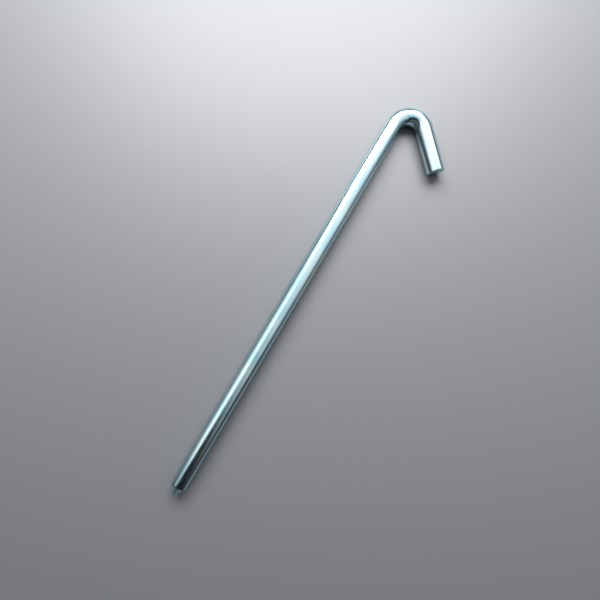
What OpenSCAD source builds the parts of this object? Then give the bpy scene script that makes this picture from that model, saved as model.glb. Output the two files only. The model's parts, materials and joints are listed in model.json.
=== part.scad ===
// Tent stake: one round steel bar with a turned point at one end and, at the other, one
// cold bend that leaves an open hook for the guy line.
// Frame: the stake lies flat. +Z is up and z = 0 is the surface it lies on, +Y runs along
// the shank from the point to the hook, and the hook opens on the +X side. The origin is
// the centre of the bounding box's lowest face.

/* [Bar] */
// Diameter of the round bar
bar_d = 9.5; // [6:0.5:14]
// Overall length, from the tip of the point to the crown of the hook
overall_length = 254; // [180:1:400]

/* [Hook] */
// Radius of the bend, measured to the bar's centre line
bend_r = 9.3; // [8:0.1:20]
// Angle that the bar turns through in the bend
bend_angle = 134; // [110:0.5:160]
// Length of the straight tail after the bend
tail_length = 25; // [10:0.1:30]
// Chamfer round the cut end of the tail
tail_chamfer = 0.4; // [0.1:0.1:1]

/* [Point] */
// Included angle of the turned point
point_angle = 60; // [40:1:110]
// Radius of the small flat left on the tip
tip_r = 0.2; // [0.1:0.1:0.8]

/* [Quality] */
// Facets round the bar
facets = 96; // [48:4:160]

/* [Hidden] */
$fn = facets;

// Cold bending draws the bar down by a hair, so the bend is slightly thinner
bend_neck = 0.02;
// How far each straight length runs into the bend, which makes them one solid
bend_lap = 0.1;

bar_r = bar_d / 2;
bend_bar_r = bar_r - bend_neck;
point_length = (bar_r - tip_r) / tan(point_angle / 2);
shank_length = overall_length - point_length - bend_r - bend_bar_r;

// Start of the tail's centre line, measured from the start of the bend
tail_start_x = bend_r * (1 - cos(bend_angle));
tail_start_y = bend_r * sin(bend_angle);

// How far the tail's end reaches to +X: its rim, or the edge above the chamfer
rim_x = tail_start_x + tail_length * sin(bend_angle) - (bar_r - tail_chamfer) * cos(bend_angle);
edge_x = tail_start_x + (tail_length - tail_chamfer) * sin(bend_angle) - bar_r * cos(bend_angle);

// The shank's centre line and the point's shoulder, placed so that the box is centred
shank_x = (bar_r - max(rim_x, edge_x)) / 2;
shoulder_y = point_length - overall_length / 2;

// The turned point, with its shoulder at y = 0 and its tip towards -Y
module turned_point() {
    rotate([90, 0, 0])
        cylinder(h = point_length, r1 = bar_r, r2 = tip_r);
}

// The straight shank, from the point's shoulder to just inside the bend
module shank() {
    rotate([-90, 0, 0])
        cylinder(h = shank_length + bend_lap, r = bar_r);
}

// The bend, which leaves its start along +Y and turns towards +X
module bend() {
    translate([bend_r, 0, 0])
        rotate([0, 0, 180 - bend_angle])
            rotate_extrude(angle = bend_angle)
                translate([bend_r, 0])
                    circle(r = bend_bar_r);
}

// The tail, from just inside the bend to the cut end with its broken edge
module tail() {
    translate([tail_start_x, tail_start_y, 0])
        rotate([-90, 0, -bend_angle]) {
            translate([0, 0, -bend_lap])
                cylinder(h = tail_length - tail_chamfer + bend_lap, r = bar_r);
            translate([0, 0, tail_length - tail_chamfer])
                cylinder(h = tail_chamfer, r1 = bar_r, r2 = bar_r - tail_chamfer);
        }
}

// The whole stake, which is one piece of bar
module stake() {
    color([0.78, 0.84, 0.87])
        translate([shank_x, shoulder_y, bar_r]) {
            turned_point();
            shank();
            translate([0, shank_length, 0]) {
                bend();
                tail();
            }
        }
}

stake();
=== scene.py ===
import json
import math

import bmesh
import bpy
from bpy.props import FloatProperty, FloatVectorProperty, IntProperty, PointerProperty
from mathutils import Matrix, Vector, noise


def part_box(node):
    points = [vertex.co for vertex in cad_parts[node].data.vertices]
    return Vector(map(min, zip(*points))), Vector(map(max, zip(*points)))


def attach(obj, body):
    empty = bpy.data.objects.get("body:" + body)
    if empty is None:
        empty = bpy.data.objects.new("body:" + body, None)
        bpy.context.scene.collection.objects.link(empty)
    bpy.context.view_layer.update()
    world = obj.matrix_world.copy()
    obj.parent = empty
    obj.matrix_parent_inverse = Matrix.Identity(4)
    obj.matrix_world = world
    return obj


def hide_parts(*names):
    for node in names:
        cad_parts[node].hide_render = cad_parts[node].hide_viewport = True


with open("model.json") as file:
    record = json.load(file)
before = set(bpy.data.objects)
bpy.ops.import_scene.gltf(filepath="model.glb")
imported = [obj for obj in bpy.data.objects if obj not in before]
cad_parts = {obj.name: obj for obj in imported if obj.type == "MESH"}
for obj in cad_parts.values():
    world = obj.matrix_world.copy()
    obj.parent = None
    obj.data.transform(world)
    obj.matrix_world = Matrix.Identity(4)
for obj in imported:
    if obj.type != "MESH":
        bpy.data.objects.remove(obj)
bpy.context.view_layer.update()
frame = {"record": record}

bl_info = {
    "name": "Tent stake",
    "version": (1, 0, 0),
    "blender": (4, 5, 0),
    "location": "3D View > Sidebar > Tent Stake",
    "description": "A zinc-plated hook stake with a turned point, and a plain studio stage",
    "category": "Object",
}

MM = 0.001


def linear(hex_colour):
    """The linear red, green and blue of an sRGB hex colour such as "C8D4DA"."""
    levels = [int(hex_colour[i : i + 2], 16) / 255 for i in (0, 2, 4)]
    return tuple(v / 12.92 if v <= 0.04045 else ((v + 0.055) / 1.055) ** 2.4 for v in levels)


def mount(name):
    """The record's mount of that name."""
    return next(m for m in frame["record"]["mounts"] if m["name"] == name)


# The bar's driving sizes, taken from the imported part
STAKE_LOW, STAKE_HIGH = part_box("stake")
SHANK = mount("shank")
HOOK = mount("line_hook")
BAR_RADIUS = SHANK["dims"]["r_mm"] * MM
SHANK_X = SHANK["pos_m"][0]
BEND_START_Y = HOOK["pos_m"][1]
BEND_RADIUS = HOOK["pos_m"][0] - SHANK_X


class StakeSettings(bpy.types.PropertyGroup):
    """Sizes and colours of the stake"""

    bend_angle: FloatProperty(
        name="Bend angle",
        description="Angle that the bar turns through in the hook",
        default=math.radians(134),
        min=math.radians(110),
        max=math.radians(160),
        subtype="ANGLE",
    )
    point_angle: FloatProperty(
        name="Point angle",
        description="Included angle of the turned point",
        default=math.radians(60),
        min=math.radians(40),
        max=math.radians(110),
        subtype="ANGLE",
    )
    tip_radius: FloatProperty(
        name="Tip radius",
        description="Radius of the rounded tip of the point",
        default=0.4 * MM,
        min=0.1 * MM,
        max=1.5 * MM,
        unit="LENGTH",
        precision=5,
    )
    edge_radius: FloatProperty(
        name="Edge radius",
        description="Rounding of the point's shoulder and of the cut end's rim",
        default=0.35 * MM,
        min=0.1 * MM,
        max=1.0 * MM,
        unit="LENGTH",
        precision=5,
    )
    bend_flattening: FloatProperty(
        name="Bend flattening",
        description="How much the bar's outer side is drawn flat in the bend",
        default=0.03,
        min=0.0,
        max=0.1,
        subtype="FACTOR",
    )
    straightness: FloatProperty(
        name="Straightness",
        description="How far the shank wanders from a true straight line",
        default=0.05 * MM,
        min=0.0,
        max=0.3 * MM,
        unit="LENGTH",
        precision=5,
    )
    sides: IntProperty(
        name="Sides",
        description="Faces round the bar",
        default=96,
        min=32,
        max=160,
    )
    zinc_colour: FloatVectorProperty(
        name="Zinc",
        description="Colour of the bright zinc plate",
        default=linear("D2E6EA"),
        min=0.0,
        max=1.0,
        subtype="COLOR",
    )
    passivate_colour: FloatVectorProperty(
        name="Passivate",
        description="Colour of the clear blue passivate where its film is thickest",
        default=linear("B4DAE4"),
        min=0.0,
        max=1.0,
        subtype="COLOR",
    )
    straw_colour: FloatVectorProperty(
        name="Straw",
        description="Colour of the passivate where its film shines a little yellow",
        default=linear("DDE3D2"),
        min=0.0,
        max=1.0,
        subtype="COLOR",
    )
    edge_colour: FloatVectorProperty(
        name="Edge tint",
        description="Tint of reflections at a glancing angle, through the passivate",
        default=linear("D8ECF2"),
        min=0.0,
        max=1.0,
        subtype="COLOR",
    )
    roughness: FloatProperty(
        name="Roughness",
        description="Roughness of the plate at its brightest",
        default=0.08,
        min=0.02,
        max=0.5,
        subtype="FACTOR",
    )


class StageSettings(bpy.types.PropertyGroup):
    """The floor, the light and the camera"""

    floor_colour: FloatVectorProperty(
        name="Floor",
        description="Colour of the floor",
        default=linear("5B5C5E"),
        min=0.0,
        max=1.0,
        subtype="COLOR",
    )
    sky_strength: FloatProperty(
        name="Sky strength",
        description="Brightness of the soft light overhead",
        default=1.7,
        min=0.0,
        max=10.0,
    )
    softbox_power: FloatProperty(
        name="Softbox power",
        description="Power of the soft light on the far side",
        default=8.5,
        min=0.0,
        max=50.0,
        unit="POWER",
    )
    camera_height: FloatProperty(
        name="Camera height",
        description="Height of the camera above the floor",
        default=215.3 * MM,
        min=0.1,
        max=2.0,
        unit="LENGTH",
    )
    focal_length: FloatProperty(
        name="Focal length",
        description="Focal length of the camera on a 36 mm sensor",
        default=22.76,
        min=10.0,
        max=100.0,
        subtype="DISTANCE_CAMERA",
    )
    turn: FloatProperty(
        name="Turn",
        description="How far the stake leans to the right of upright in the picture",
        default=math.radians(30.78),
        subtype="ANGLE",
    )


# ---------------------------------------------------------------- geometry


class BarPath:
    """The bar's centre line. Distance s is measured from the point's shoulder towards the
    cut end, and is negative on the point."""

    def __init__(self, settings):
        self.angle = settings.bend_angle
        self.wander = settings.straightness
        half_point = settings.point_angle / 2
        # A ball of the tip's radius, tangent to the cone, stops short of the sharp apex
        self.point_length = BAR_RADIUS / math.tan(half_point) - settings.tip_radius * (
            1 / math.sin(half_point) - 1
        )
        self.shoulder_y = STAKE_LOW[1] + self.point_length
        self.bend_start = BEND_START_Y - self.shoulder_y
        self.bend_end = self.bend_start + BEND_RADIUS * self.angle
        # The tail reaches the part's far side with the rim of its end face
        reach = STAKE_HIGH[0] - SHANK_X - BEND_RADIUS * (1 - math.cos(self.angle))
        rim = (BAR_RADIUS - settings.edge_radius) * math.cos(self.angle)
        self.end = self.bend_end + (reach + rim) / math.sin(self.angle)

    def at(self, s):
        """The centre, the direction and the outward side of the bar at s."""
        turned = min(max((s - self.bend_start) / BEND_RADIUS, 0), self.angle)
        along = Vector((math.sin(turned), math.cos(turned), 0))
        outward = Vector((-math.cos(turned), math.sin(turned), 0))
        bend_centre = Vector((SHANK_X + BEND_RADIUS, BEND_START_Y, BAR_RADIUS))
        centre = bend_centre + outward * BEND_RADIUS
        if s < self.bend_start:
            centre += along * (s - self.bend_start)
        elif s > self.bend_end:
            centre += along * (s - self.bend_end)
        sway_length = 45 * MM
        sway = noise.noise(Vector((s / sway_length, 3.1, 0)))
        return centre + outward * sway * self.wander, along, outward

    def bend_share(self, s):
        """1 in the middle of the bend, easing to 0 a little way into both straight lengths."""
        overrun, ramp = 3 * MM, 12 * MM
        into = min(s - self.bend_start, self.bend_end - s) + overrun
        t = min(max(into / ramp, 0), 1)
        return t * t * (3 - 2 * t)


def spaced(start, stop, step):
    """Evenly spaced values from start up to, but not at, stop, about step apart."""
    count = max(1, round((stop - start) / step))
    return [start + (stop - start) * i / count for i in range(count)]


def bar_profile(path, settings):
    """(s, radius) of each ring, from next to the tip to the rim of the cut end's face."""
    half = settings.point_angle / 2
    tip = settings.tip_radius
    edge = settings.edge_radius
    rings = []
    # The rounded tip, up to where the cone leaves it
    tip_steps = 6
    for i in range(1, tip_steps + 1):
        a = (math.pi / 2 - half) * i / tip_steps
        rings.append((-path.point_length + tip * (1 - math.cos(a)), tip * math.sin(a)))
    # The cone, with the turning tool's feed marks, up to the rounded shoulder
    cone_start, cone_radius = rings[-1]
    set_back = edge * math.tan(half / 2)
    cone_stop = -set_back * math.cos(half)
    feed, feed_depth, cone_step = 0.35 * MM, 0.006 * MM, 0.07 * MM
    for s in spaced(cone_start, cone_stop, cone_step)[1:]:
        radius = cone_radius + (s - cone_start) * math.tan(half)
        mark = abs(math.sin(math.pi * (s - cone_start) / feed))
        rings.append((s, radius - feed_depth * (1 - mark)))
    # The shoulder: a short arc from the cone to the cylinder
    shoulder_steps = 5
    for i in range(shoulder_steps + 1):
        a = half * (1 - i / shoulder_steps)
        rings.append((set_back - edge * math.sin(a), BAR_RADIUS - edge * (1 - math.cos(a))))
    # The shank, the bend, the tail and its sheared end: each stretch's stop and ring spacing
    bend_margin = 4 * MM
    shear_reach = 2 * MM
    stretches = (
        (path.bend_start - bend_margin, 1.6 * MM),
        (path.bend_end + bend_margin, 0.45 * MM),
        (path.end - shear_reach, 0.8 * MM),
        (path.end - edge, 0.25 * MM),
    )
    start = set_back
    places = []
    for stop, step in stretches:
        places += spaced(start, stop, step)
        start = stop
    rings += [(s, BAR_RADIUS) for s in places[1:]]
    # The rim of the cut end
    rim_steps = 7
    for i in range(rim_steps + 1):
        a = math.pi / 2 * i / rim_steps
        rings.append((path.end - edge * (1 - math.sin(a)), BAR_RADIUS - edge * (1 - math.cos(a))))
    return rings


def shear_lift(across, up, from_end, face_share):
    """How far along the bar the shear has moved a place near the cut end. The blade came down
    from above: it rolled the upper edge over, rubbed the upper part of the face into upright
    streaks, and the rest broke away rough."""
    roll_reach, roll_depth = 1.8 * MM, 0.4 * MM
    streak_width, streak_depth = 0.4 * MM, 0.04 * MM
    grain, tear_depth = 1.0 * MM, 0.35 * MM
    high = up / BAR_RADIUS
    near = max(0.0, 1 - from_end / roll_reach)
    rolled = -roll_depth * max(0.0, high) ** 3 * near * near
    streaks = noise.noise(Vector((across / streak_width, 0.3 * high, 0)))
    torn = noise.fractal(Vector((across, up, 0)) / grain, 0.9, 2.1, 4)
    # The tear starts a third of the way up from the middle, along an uneven line
    tear_line, tear_wave, tear_blend = 0.35, 0.15, 0.25
    broken = min(max((tear_line + tear_wave * streaks - high) / tear_blend, 0), 1)
    relief = streak_depth * streaks * (1 - broken) + tear_depth * torn * broken
    return rolled + face_share * relief


def build_bar_mesh(settings):
    """One closed mesh for the whole bar. Each vertex also holds its place on the bar before
    it was bent, in millimetres, and how far it was stretched, turned or cut."""
    path = BarPath(settings)
    sides = settings.sides
    cone_end = -0.02 * MM
    face_step = 0.16 * MM
    # The bend's inner side bulges by a fifth of what its outer side loses
    bulge = 0.2
    mesh = bpy.data.meshes.new("zinc_plated_bar")
    bm = bmesh.new()
    unbent = bm.verts.layers.float_vector.new("unbent_mm")
    stretched = bm.verts.layers.float.new("stretched")
    turned = bm.verts.layers.float.new("turned")
    cut = bm.verts.layers.float.new("cut")

    def vertex(s, radius, a, on_cone=0.0, on_cut=0.0):
        centre, along, outward = path.at(s)
        lift = shear_lift(radius * math.cos(a), radius * math.sin(a), path.end - s, on_cut)
        share = path.bend_share(s)
        facing_out = math.cos(a)
        squeeze = settings.bend_flattening * share * max(facing_out, 0) ** 2
        swell = bulge * settings.bend_flattening * share * max(-facing_out, 0) ** 2
        r = radius * (1 - squeeze + swell)
        spot = centre + outward * r * facing_out + Vector((0, 0, r * math.sin(a))) + along * lift
        v = bm.verts.new(spot)
        v[unbent] = Vector((radius * facing_out, radius * math.sin(a), s)) / MM
        v[stretched] = share * max(facing_out, 0)
        v[turned] = on_cone
        v[cut] = on_cut
        return v

    def ring(s, radius, on_cone=0.0, on_cut=0.0):
        return [vertex(s, radius, 2 * math.pi * k / sides, on_cone, on_cut) for k in range(sides)]

    def bridge(lower, upper):
        for k in range(sides):
            n = (k + 1) % sides
            bm.faces.new((lower[k], upper[k], upper[n], lower[n]))

    rings = [ring(s, r, on_cone=float(s < cone_end)) for s, r in bar_profile(path, settings)]
    # The cut end's face, in rings that close on its middle
    face_radius = BAR_RADIUS - settings.edge_radius
    for r in spaced(face_radius, 0, face_step)[1:]:
        rings.append(ring(path.end, r, on_cut=1.0))
    for lower, upper in zip(rings, rings[1:]):
        bridge(lower, upper)
    tip = vertex(-path.point_length, 0, 0, on_cone=1.0)
    middle = vertex(path.end, 0, 0, on_cut=1.0)
    for k in range(sides):
        n = (k + 1) % sides
        bm.faces.new((tip, rings[0][k], rings[0][n]))
        bm.faces.new((rings[-1][k], middle, rings[-1][n]))
    bmesh.ops.recalc_face_normals(bm, faces=bm.faces)
    for face in bm.faces:
        face.smooth = True
    bm.to_mesh(mesh)
    bm.free()
    return mesh


# ---------------------------------------------------------------- materials


def add_node(tree, kind, inputs=None, out=0, **settings):
    """Adds a shader node, sets it up, fills its inputs with values or links them to other
    nodes' outputs, and gives back its output number out, or the node if it has none."""
    node = tree.nodes.new("ShaderNode" + kind)
    for name, value in settings.items():
        setattr(node, name, value)
    for key, value in (inputs or {}).items():
        if isinstance(value, bpy.types.NodeSocket):
            tree.links.new(value, node.inputs[key])
        else:
            node.inputs[key].default_value = value
    return node.outputs[out] if node.outputs else node


def new_tree(name):
    """A material with an empty node tree."""
    material = bpy.data.materials.new(name)
    material.use_nodes = True
    material.node_tree.nodes.clear()
    return material, material.node_tree


def zinc_material(settings):
    """Bright zinc electroplate with a clear blue passivate, over cold-drawn steel bar. Drawing
    leaves fine lines along the bar, the plate is a bright metal with a soft haze, and the
    passivate gives it a cold blue-green cast that drifts towards straw in places. The sheared
    end is dull and furrowed, and the bend's outer side has a faint orange peel."""
    material, tree = new_tree("bright_zinc_plate")
    place = add_node(tree, "Attribute", out=1, attribute_name="unbent_mm")
    stretched = add_node(tree, "Attribute", out=2, attribute_name="stretched")
    turned = add_node(tree, "Attribute", out=2, attribute_name="turned")
    cut = add_node(tree, "Attribute", out=2, attribute_name="cut")

    # Each pattern's scale is in cycles per millimetre: outwards, upwards and along the bar.
    # Die lines are 0.1 to 0.2 mm apart; a broader set is drawn coarser so that it shows.
    # Patches of film are 8 to 15 mm long and straw ones about twice that, and the plate's haze
    # is about 2 mm across.
    # Scuffs are a few millimetres long and lean across the bar, as rubbing stakes leave them.
    # Orange peel on the stretched outside of the bend has grains of about 0.3 mm, and the
    # shear's furrows are 0.2 mm apart.
    lean = math.radians(28)
    patterns = {}
    for name, scale, turn, detail in (
        ("die_lines", (6.0, 6.0, 0.02), 0.0, 3.0),
        ("broad_lines", (1.6, 1.6, 0.006), 0.0, 3.0),
        ("film", (0.12, 0.12, 0.07), 0.0, 3.0),
        ("straw", (0.09, 0.09, 0.04), lean, 1.0),
        ("haze", (0.5, 0.5, 0.3), 0.0, 4.0),
        ("scuffs", (2.4, 2.4, 0.22), lean, 2.0),
        ("peel", (3.0, 3.0, 3.0), 0.0, 1.0),
        ("furrows", (5.0, 0.5, 0.5), lean, 4.0),
    ):
        scaled = add_node(
            tree, "Mapping", {"Vector": place, "Rotation": (turn, turn, 0), "Scale": scale}
        )
        patterns[name] = add_node(
            tree, "TexNoise", {"Vector": scaled, "Scale": 1.0, "Detail": detail}
        )

    # The part of each pattern that shows, as a share from low to high
    shares = {}
    for name, low, high, at_low, at_high in (
        ("film", 0.35, 0.65, 0.1, 0.9),
        ("straw", 0.52, 0.7, 0.0, 0.3),
        ("haze", 0.3, 0.7, 0.0, 1.0),
        ("scuffs", 0.6, 0.68, 0.0, 1.0),
    ):
        shares[name] = add_node(
            tree,
            "MapRange",
            {
                "Value": patterns[name],
                "From Min": low,
                "From Max": high,
                "To Min": at_low,
                "To Max": at_high,
            },
        )

    colour = (*settings.zinc_colour, 1)
    for share, tone in (
        (shares["film"], settings.passivate_colour),
        (shares["straw"], settings.straw_colour),
    ):
        colour = add_node(
            tree, "Mix", {0: share, 6: colour, 7: (*tone, 1)}, out=2, data_type="RGBA"
        )

    rough = settings.roughness
    for pattern, amount in (
        (shares["haze"], 0.05),
        (shares["scuffs"], 0.1),
        (patterns["broad_lines"], 0.06),
        (stretched, 0.04),
        (turned, 0.05),
        (cut, 0.3),
    ):
        rough = add_node(tree, "Math", {0: pattern, 1: amount, 2: rough}, operation="MULTIPLY_ADD")

    # Heights are in hundredths of a millimetre. The furrows show only on the cut, and the
    # orange peel only where the bend is stretched.
    furrow_depth = add_node(tree, "Math", {0: cut, 1: 12.0}, operation="MULTIPLY")
    peel_depth = add_node(tree, "Math", {0: stretched, 1: 1.2}, operation="MULTIPLY")
    height = 0.0
    for pattern, depth in (
        (patterns["die_lines"], 0.6),
        (patterns["broad_lines"], 2.4),
        (shares["scuffs"], -0.25),
        (patterns["peel"], peel_depth),
        (patterns["furrows"], furrow_depth),
    ):
        height = add_node(
            tree, "Math", {0: pattern, 1: depth, 2: height}, operation="MULTIPLY_ADD"
        )
    bump = add_node(tree, "Bump", {"Height": height, "Strength": 0.8, "Distance": 0.01 * MM})
    shader = add_node(
        tree,
        "BsdfPrincipled",
        {
            "Base Color": colour,
            "Metallic": 1.0,
            "Roughness": rough,
            "Specular Tint": (*settings.edge_colour, 1),
            "Normal": bump,
        },
    )
    add_node(tree, "OutputMaterial", {"Surface": shader})
    return material


def floor_material(settings):
    """Matt-lacquered board, sprayed: an even grey with a faint sheen, pale under the softbox."""
    material, tree = new_tree("lacquered_board")
    place = add_node(tree, "TexCoord", out=3)
    grain = add_node(tree, "TexNoise", {"Vector": place, "Scale": 900.0, "Detail": 3.0})
    bump = add_node(tree, "Bump", {"Height": grain, "Strength": 0.2, "Distance": 0.02 * MM})
    shader = add_node(
        tree,
        "BsdfPrincipled",
        {
            "Base Color": (*settings.floor_colour, 1),
            "Roughness": 0.55,
            "IOR": 1.5,
            "Normal": bump,
        },
    )
    add_node(tree, "OutputMaterial", {"Surface": shader})
    return material


# ---------------------------------------------------------------- stage


def picture_axes(turn):
    """The directions that point right and up in the picture."""
    right = Vector((math.cos(turn), math.sin(turn), 0))
    up = Vector((-math.sin(turn), math.cos(turn), 0))
    return right, up


def make_world(settings):
    """A soft sky: bright over the far side of the stake, and dim towards the near side and
    the horizon. It has a window at the far right, a narrow strip of light down the right, a
    dark figure that stands at the near side, and a faintly lit wall beyond the point."""
    world = bpy.data.worlds.new("soft_sky")
    bpy.context.scene.world = world
    world.use_nodes = True
    tree = world.node_tree
    tree.nodes.clear()
    direction = add_node(tree, "TexCoord", out=0)
    right, up = picture_axes(settings.turn)
    north, east, hook_end, hook_side, height = (
        add_node(tree, "VectorMath", {0: direction, 1: axis}, out=1, operation="DOT_PRODUCT")
        for axis in (up, right, (0, 1, 0), (1, 0, 0), (0, 0, 1))
    )
    # The figure is an ellipse seen from below: its middle and its half widths along x and y
    middle_x, middle_y, half_x, half_y = 0.18, -0.64, 0.64, 0.34
    from_figure = add_node(
        tree,
        "Mapping",
        {
            "Vector": direction,
            "Location": (-middle_x / half_x, -middle_y / half_y, 0),
            "Scale": (1 / half_x, 1 / half_y, 0),
        },
    )
    figure = add_node(tree, "VectorMath", {0: from_figure}, out=1, operation="LENGTH")
    # Each line is one soft edge: how the light changes from low to high along an axis
    edges = {}
    for name, value, low, high, at_low, at_high in (
        ("north", north, -1.05, -0.4, 0.05, 1.0),
        ("height", height, 0.1, 1.0, 0.13, 1.0),
        ("hook_end", hook_end, -0.6, -0.37, 0.02, 1.0),
        ("figure", figure, 0.75, 1.15, 0.08, 1.0),
        ("hook_side", hook_side, -0.45, 0.0, 0.0, 1.0),
        ("veil", hook_end, -0.35, 0.25, 0.28, 0.74),
        ("window_north", north, -0.12, 0.2, 0.0, 1.0),
        ("window_east", east, 0.0, 0.6, 0.0, 1.0),
        ("window_height", height, 0.27, 0.6, 0.05, 1.0),
        ("strip_start", east, 0.37, 0.45, 0.0, 1.0),
        ("strip_stop", east, 0.5, 0.62, 1.0, 0.0),
        ("strip_north", north, -0.9, -0.35, 0.0, 0.62),
        ("wall", hook_end, -0.56, -0.72, 0.0, 0.08),
        ("wall_height", height, 0.08, 0.3, 0.2, 1.0),
    ):
        edges[name] = add_node(
            tree,
            "MapRange",
            {
                "Value": value,
                "From Min": low,
                "From Max": high,
                "To Min": at_low,
                "To Max": at_high,
            },
            interpolation_type="SMOOTHSTEP",
        )
    # The veil dims the light only on the side that the hook opens on
    sky = add_node(
        tree, "Mix", {0: edges["hook_side"], 2: 1.0, 3: edges["veil"]}, data_type="FLOAT"
    )
    for name in ("north", "height", "hook_end", "figure"):
        sky = add_node(tree, "Math", {0: sky, 1: edges[name]}, operation="MULTIPLY")
    # The lit parts of the room, of which the brightest shows in each direction
    lit = sky
    for names in (
        ("window_north", "window_east", "window_height"),
        ("strip_north", "strip_start", "strip_stop"),
        ("wall", "wall_height"),
    ):
        part = 1.0
        for name in names:
            part = add_node(tree, "Math", {0: part, 1: edges[name]}, operation="MULTIPLY")
        lit = add_node(tree, "Math", {0: lit, 1: part}, operation="MAXIMUM")
    strength = add_node(tree, "Math", {0: lit, 1: settings.sky_strength}, operation="MULTIPLY")
    light = add_node(tree, "Background", {"Color": (*linear("F6FBFF"), 1), "Strength": strength})
    backdrop = add_node(tree, "Background", {"Color": (*linear("D0D3D6"), 1), "Strength": 1.0})
    seen = add_node(tree, "LightPath")
    surface = add_node(tree, "MixShader", {0: seen, 1: light, 2: backdrop})
    add_node(tree, "OutputWorld", {"Surface": surface})


def add_softbox(settings):
    """A soft rectangular light on the far side, which makes the floor fade towards the near
    side and throws the stake's shadow there."""
    width, depth = 0.55, 0.25
    far, above = 0.37, 0.31
    up = picture_axes(settings.turn)[1]
    lamp = bpy.data.lights.new("softbox", "AREA")
    lamp.shape = "RECTANGLE"
    lamp.size = width
    lamp.size_y = depth
    lamp.energy = settings.softbox_power
    softbox = bpy.data.objects.new("softbox", lamp)
    bpy.context.scene.collection.objects.link(softbox)
    softbox.location = up * far + Vector((0, 0, above))
    softbox.rotation_euler = (-softbox.location).to_track_quat("-Z", "Y").to_euler()


def add_floor(settings):
    """A plain square floor, many times as wide as the stake is long."""
    half_width = 3.0
    mesh = bpy.data.meshes.new("floor")
    bm = bmesh.new()
    bmesh.ops.create_grid(bm, x_segments=1, y_segments=1, size=half_width)
    bm.to_mesh(mesh)
    bm.free()
    mesh.materials.append(floor_material(settings))
    floor = bpy.data.objects.new("floor", mesh)
    bpy.context.scene.collection.objects.link(floor)


def add_camera(settings):
    """A camera that looks straight down on the middle of the stake, a little to the side that
    the hook opens on."""
    beside_shank, from_tip = 5.16 * MM, 130.05 * MM
    lens = bpy.data.cameras.new("camera")
    lens.lens = settings.focal_length
    lens.sensor_width = 36.0
    lens.clip_start = 0.01
    camera = bpy.data.objects.new("camera", lens)
    bpy.context.scene.collection.objects.link(camera)
    camera.location = (SHANK_X + beside_shank, STAKE_LOW[1] + from_tip, settings.camera_height)
    camera.rotation_euler = (0, 0, settings.turn)
    bpy.context.scene.camera = camera


# ---------------------------------------------------------------- operators


class TENTSTAKE_OT_stake(bpy.types.Operator):
    """Builds the bar as one closed mesh and finishes it in bright zinc"""

    bl_idname = "tentstake.stake"
    bl_label = "Stake"

    def execute(self, context):
        settings = context.scene.stake_settings
        stake = bpy.data.objects.new("hook_stake", build_bar_mesh(settings))
        context.scene.collection.objects.link(stake)
        stake.data.materials.append(zinc_material(settings))
        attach(stake, "root")
        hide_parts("stake")
        return {"FINISHED"}


class TENTSTAKE_OT_stage(bpy.types.Operator):
    """Makes the floor, the soft light and the camera"""

    bl_idname = "tentstake.stage"
    bl_label = "Stage"

    def execute(self, context):
        settings = context.scene.stage_settings
        add_floor(settings)
        make_world(settings)
        add_softbox(settings)
        add_camera(settings)
        context.scene.view_settings.view_transform = "Standard"
        return {"FINISHED"}


class TENTSTAKE_PT_panel(bpy.types.Panel):
    """Sizes, colours and the buttons that build the stake and its stage"""

    bl_idname = "TENTSTAKE_PT_panel"
    bl_label = "Tent Stake"
    bl_space_type = "VIEW_3D"
    bl_region_type = "UI"
    bl_category = "Tent Stake"

    def draw(self, context):
        for group, button in (
            (context.scene.stake_settings, TENTSTAKE_OT_stake),
            (context.scene.stage_settings, TENTSTAKE_OT_stage),
        ):
            box = self.layout.box()
            for name in type(group).__annotations__:
                box.prop(group, name)
            box.operator(button.bl_idname)


CLASSES = (StakeSettings, StageSettings, TENTSTAKE_OT_stake, TENTSTAKE_OT_stage, TENTSTAKE_PT_panel)


def register():
    for cls in CLASSES:
        bpy.utils.register_class(cls)
    bpy.types.Scene.stake_settings = PointerProperty(type=StakeSettings)
    bpy.types.Scene.stage_settings = PointerProperty(type=StageSettings)


def unregister():
    del bpy.types.Scene.stage_settings
    del bpy.types.Scene.stake_settings
    for cls in reversed(CLASSES):
        bpy.utils.unregister_class(cls)


def main():
    register()
    bpy.ops.tentstake.stake()
    bpy.ops.tentstake.stage()


if __name__ == "__main__":
    main()
